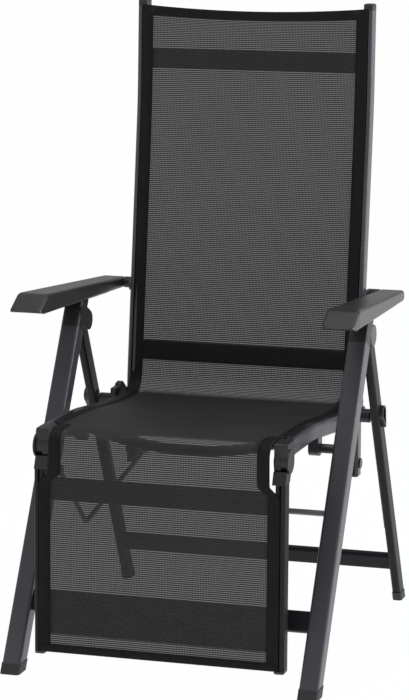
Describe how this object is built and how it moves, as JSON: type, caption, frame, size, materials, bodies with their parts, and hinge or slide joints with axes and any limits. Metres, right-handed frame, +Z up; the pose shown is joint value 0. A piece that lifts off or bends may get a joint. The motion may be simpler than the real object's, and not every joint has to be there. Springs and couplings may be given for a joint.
{
  "type": "reclining garden armchair",
  "caption": "Folding garden armchair with a mesh sling, a reclining back and a footrest that rises with it.",
  "frame": {"origin": "on the floor, midway between the front and rear feet and between the armrests", "axes": "+Z up, the chair faces -Y, +X to the right as seen from the front"},
  "size_m": [0.6, 0.673, 1.0928],
  "materials": {
    "frame_metal": "satin powder coat, anthracite",
    "black_plastic": "fine-grained black plastic",
    "arm_plastic": "satin anthracite plastic with a soft sheen",
    "sling_fabric": "woven coated mesh, dark grey",
    "light_rod": "satin light grey",
    "pin_steel": "dark plated steel"
  },
  "bodies": {
    "front_frame": {"front_leg_left": "frame_metal", "front_leg_right": "frame_metal", "front_foot_cap_left": "black_plastic", "front_foot_cap_right": "black_plastic", "leg_top_fitting_left": "black_plastic", "leg_top_fitting_right": "black_plastic", "front_cross_bar": "frame_metal", "stretcher_rod": "light_rod", "apex_pins": "pin_steel", "seat_axle_pins": "pin_steel"},
    "rear_frame": {"rear_leg_left": "frame_metal", "rear_leg_right": "frame_metal", "rear_leg_knuckle_left": "black_plastic", "rear_leg_knuckle_right": "black_plastic", "rear_foot_caps": "black_plastic", "rear_cross_bar": "frame_metal", "guide_strips": "pin_steel", "leg_clips": "black_plastic"},
    "seat_frame": {"seat_rail_left": "frame_metal", "seat_rail_right": "frame_metal", "seat_axle_lug_left": "frame_metal", "seat_axle_lug_right": "frame_metal", "seat_front_cap_left": "black_plastic", "seat_front_cap_right": "black_plastic", "slide_bracket_left": "black_plastic", "slide_bracket_right": "black_plastic", "seat_rail_plugs": "frame_metal", "seat_bowed_bar": "frame_metal", "fold_pins": "pin_steel", "seat_sling": "sling_fabric"},
    "hinge_bracket": {"hinge_plates": "frame_metal"},
    "backrest": {"back_tube_left": "frame_metal", "back_tube_right": "frame_metal", "back_top_cap_left": "black_plastic", "back_top_cap_right": "black_plastic", "arm_hinge_plates": "frame_metal", "back_foot_plugs": "frame_metal", "back_upper_bar": "frame_metal", "back_lumbar_bar": "frame_metal", "recline_pins": "pin_steel", "back_foot_bolts": "pin_steel", "back_sling": "sling_fabric"},
    "footrest_frame": {"footrest_tube_left": "frame_metal", "footrest_tube_right": "frame_metal", "footrest_hinge_block_left": "black_plastic", "footrest_hinge_block_right": "black_plastic", "footrest_foot_plugs": "frame_metal", "footrest_upper_bar": "frame_metal", "footrest_lower_bar": "frame_metal", "footrest_hinge_pins": "pin_steel", "link_lug": "frame_metal", "footrest_sling": "sling_fabric"},
    "link": {"sync_link": "light_rod"},
    "arm_pivot_left": {"arm_bush_left": "black_plastic"},
    "arm_pivot_right": {"arm_bush_right": "black_plastic"},
    "arm_left": {"armrest_left": "arm_plastic", "arm_slide_plate_left": "black_plastic"},
    "arm_right": {"armrest_right": "arm_plastic", "arm_slide_plate_right": "black_plastic"}
  },
  "joints": [
    {"name": "legs_fold", "type": "hinge", "parent": "front_frame", "child": "rear_frame", "pos_m": [0, 0.04527, 0.541], "axis": [-1, 0, 0], "range_deg": [0, 46]},
    {"name": "seat_fold", "type": "hinge", "parent": "front_frame", "child": "seat_frame", "pos_m": [0, -0.09658, 0.37], "axis": [-1, 0, 0], "range_deg": [0, 92.01]},
    {"name": "backrest_fold", "type": "hinge", "parent": "seat_frame", "child": "hinge_bracket", "pos_m": [0, 0.15, 0.4], "axis": [1, 0, 0], "range_deg": [0, 76.83]},
    {"name": "recline", "type": "hinge", "parent": "hinge_bracket", "child": "backrest", "pos_m": [0, 0.184, 0.376], "axis": [-1, 0, 0], "range_deg": [0, 30]},
    {"name": "footrest_raise", "type": "hinge", "parent": "seat_frame", "child": "footrest_frame", "pos_m": [0, -0.294, 0.391], "axis": [-1, 0, 0], "range_deg": [0, 66.01]},
    {"name": "link_swing", "type": "hinge", "parent": "footrest_frame", "child": "link", "pos_m": [0, -0.2824, 0.3475], "axis": [1, 0, 0], "range_deg": [0, 65.62]},
    {"name": "arm_tilt_left", "type": "hinge", "parent": "backrest", "child": "arm_pivot_left", "pos_m": [0, 0.234, 0.579], "axis": [1, 0, 0], "range_deg": [0, 20.56]},
    {"name": "arm_fold_left", "type": "hinge", "parent": "arm_pivot_left", "child": "arm_left", "pos_m": [0, 0.234, 0.579], "axis": [-1, 0, 0], "range_deg": [0, 110.41]},
    {"name": "arm_tilt_right", "type": "hinge", "parent": "backrest", "child": "arm_pivot_right", "pos_m": [0, 0.234, 0.579], "axis": [1, 0, 0], "range_deg": [0, 20.56]},
    {"name": "arm_fold_right", "type": "hinge", "parent": "arm_pivot_right", "child": "arm_right", "pos_m": [0, 0.234, 0.579], "axis": [-1, 0, 0], "range_deg": [0, 110.41]}
  ],
  "couplings": [
    {"joint": "seat_fold", "follows": "legs_fold", "ratio": 2},
    {"joint": "backrest_fold", "follows": "legs_fold", "ratio": 1.67},
    {"joint": "footrest_raise", "follows": "recline", "ratio": 2.2},
    {"joint": "link_swing", "follows": "recline", "ratio": 2.187},
    {"joint": "arm_tilt_left", "follows": "recline", "ratio": 0.685},
    {"joint": "arm_fold_left", "follows": "legs_fold", "ratio": 2.4},
    {"joint": "arm_tilt_right", "follows": "recline", "ratio": 0.685},
    {"joint": "arm_fold_right", "follows": "legs_fold", "ratio": 2.4}
  ]
}
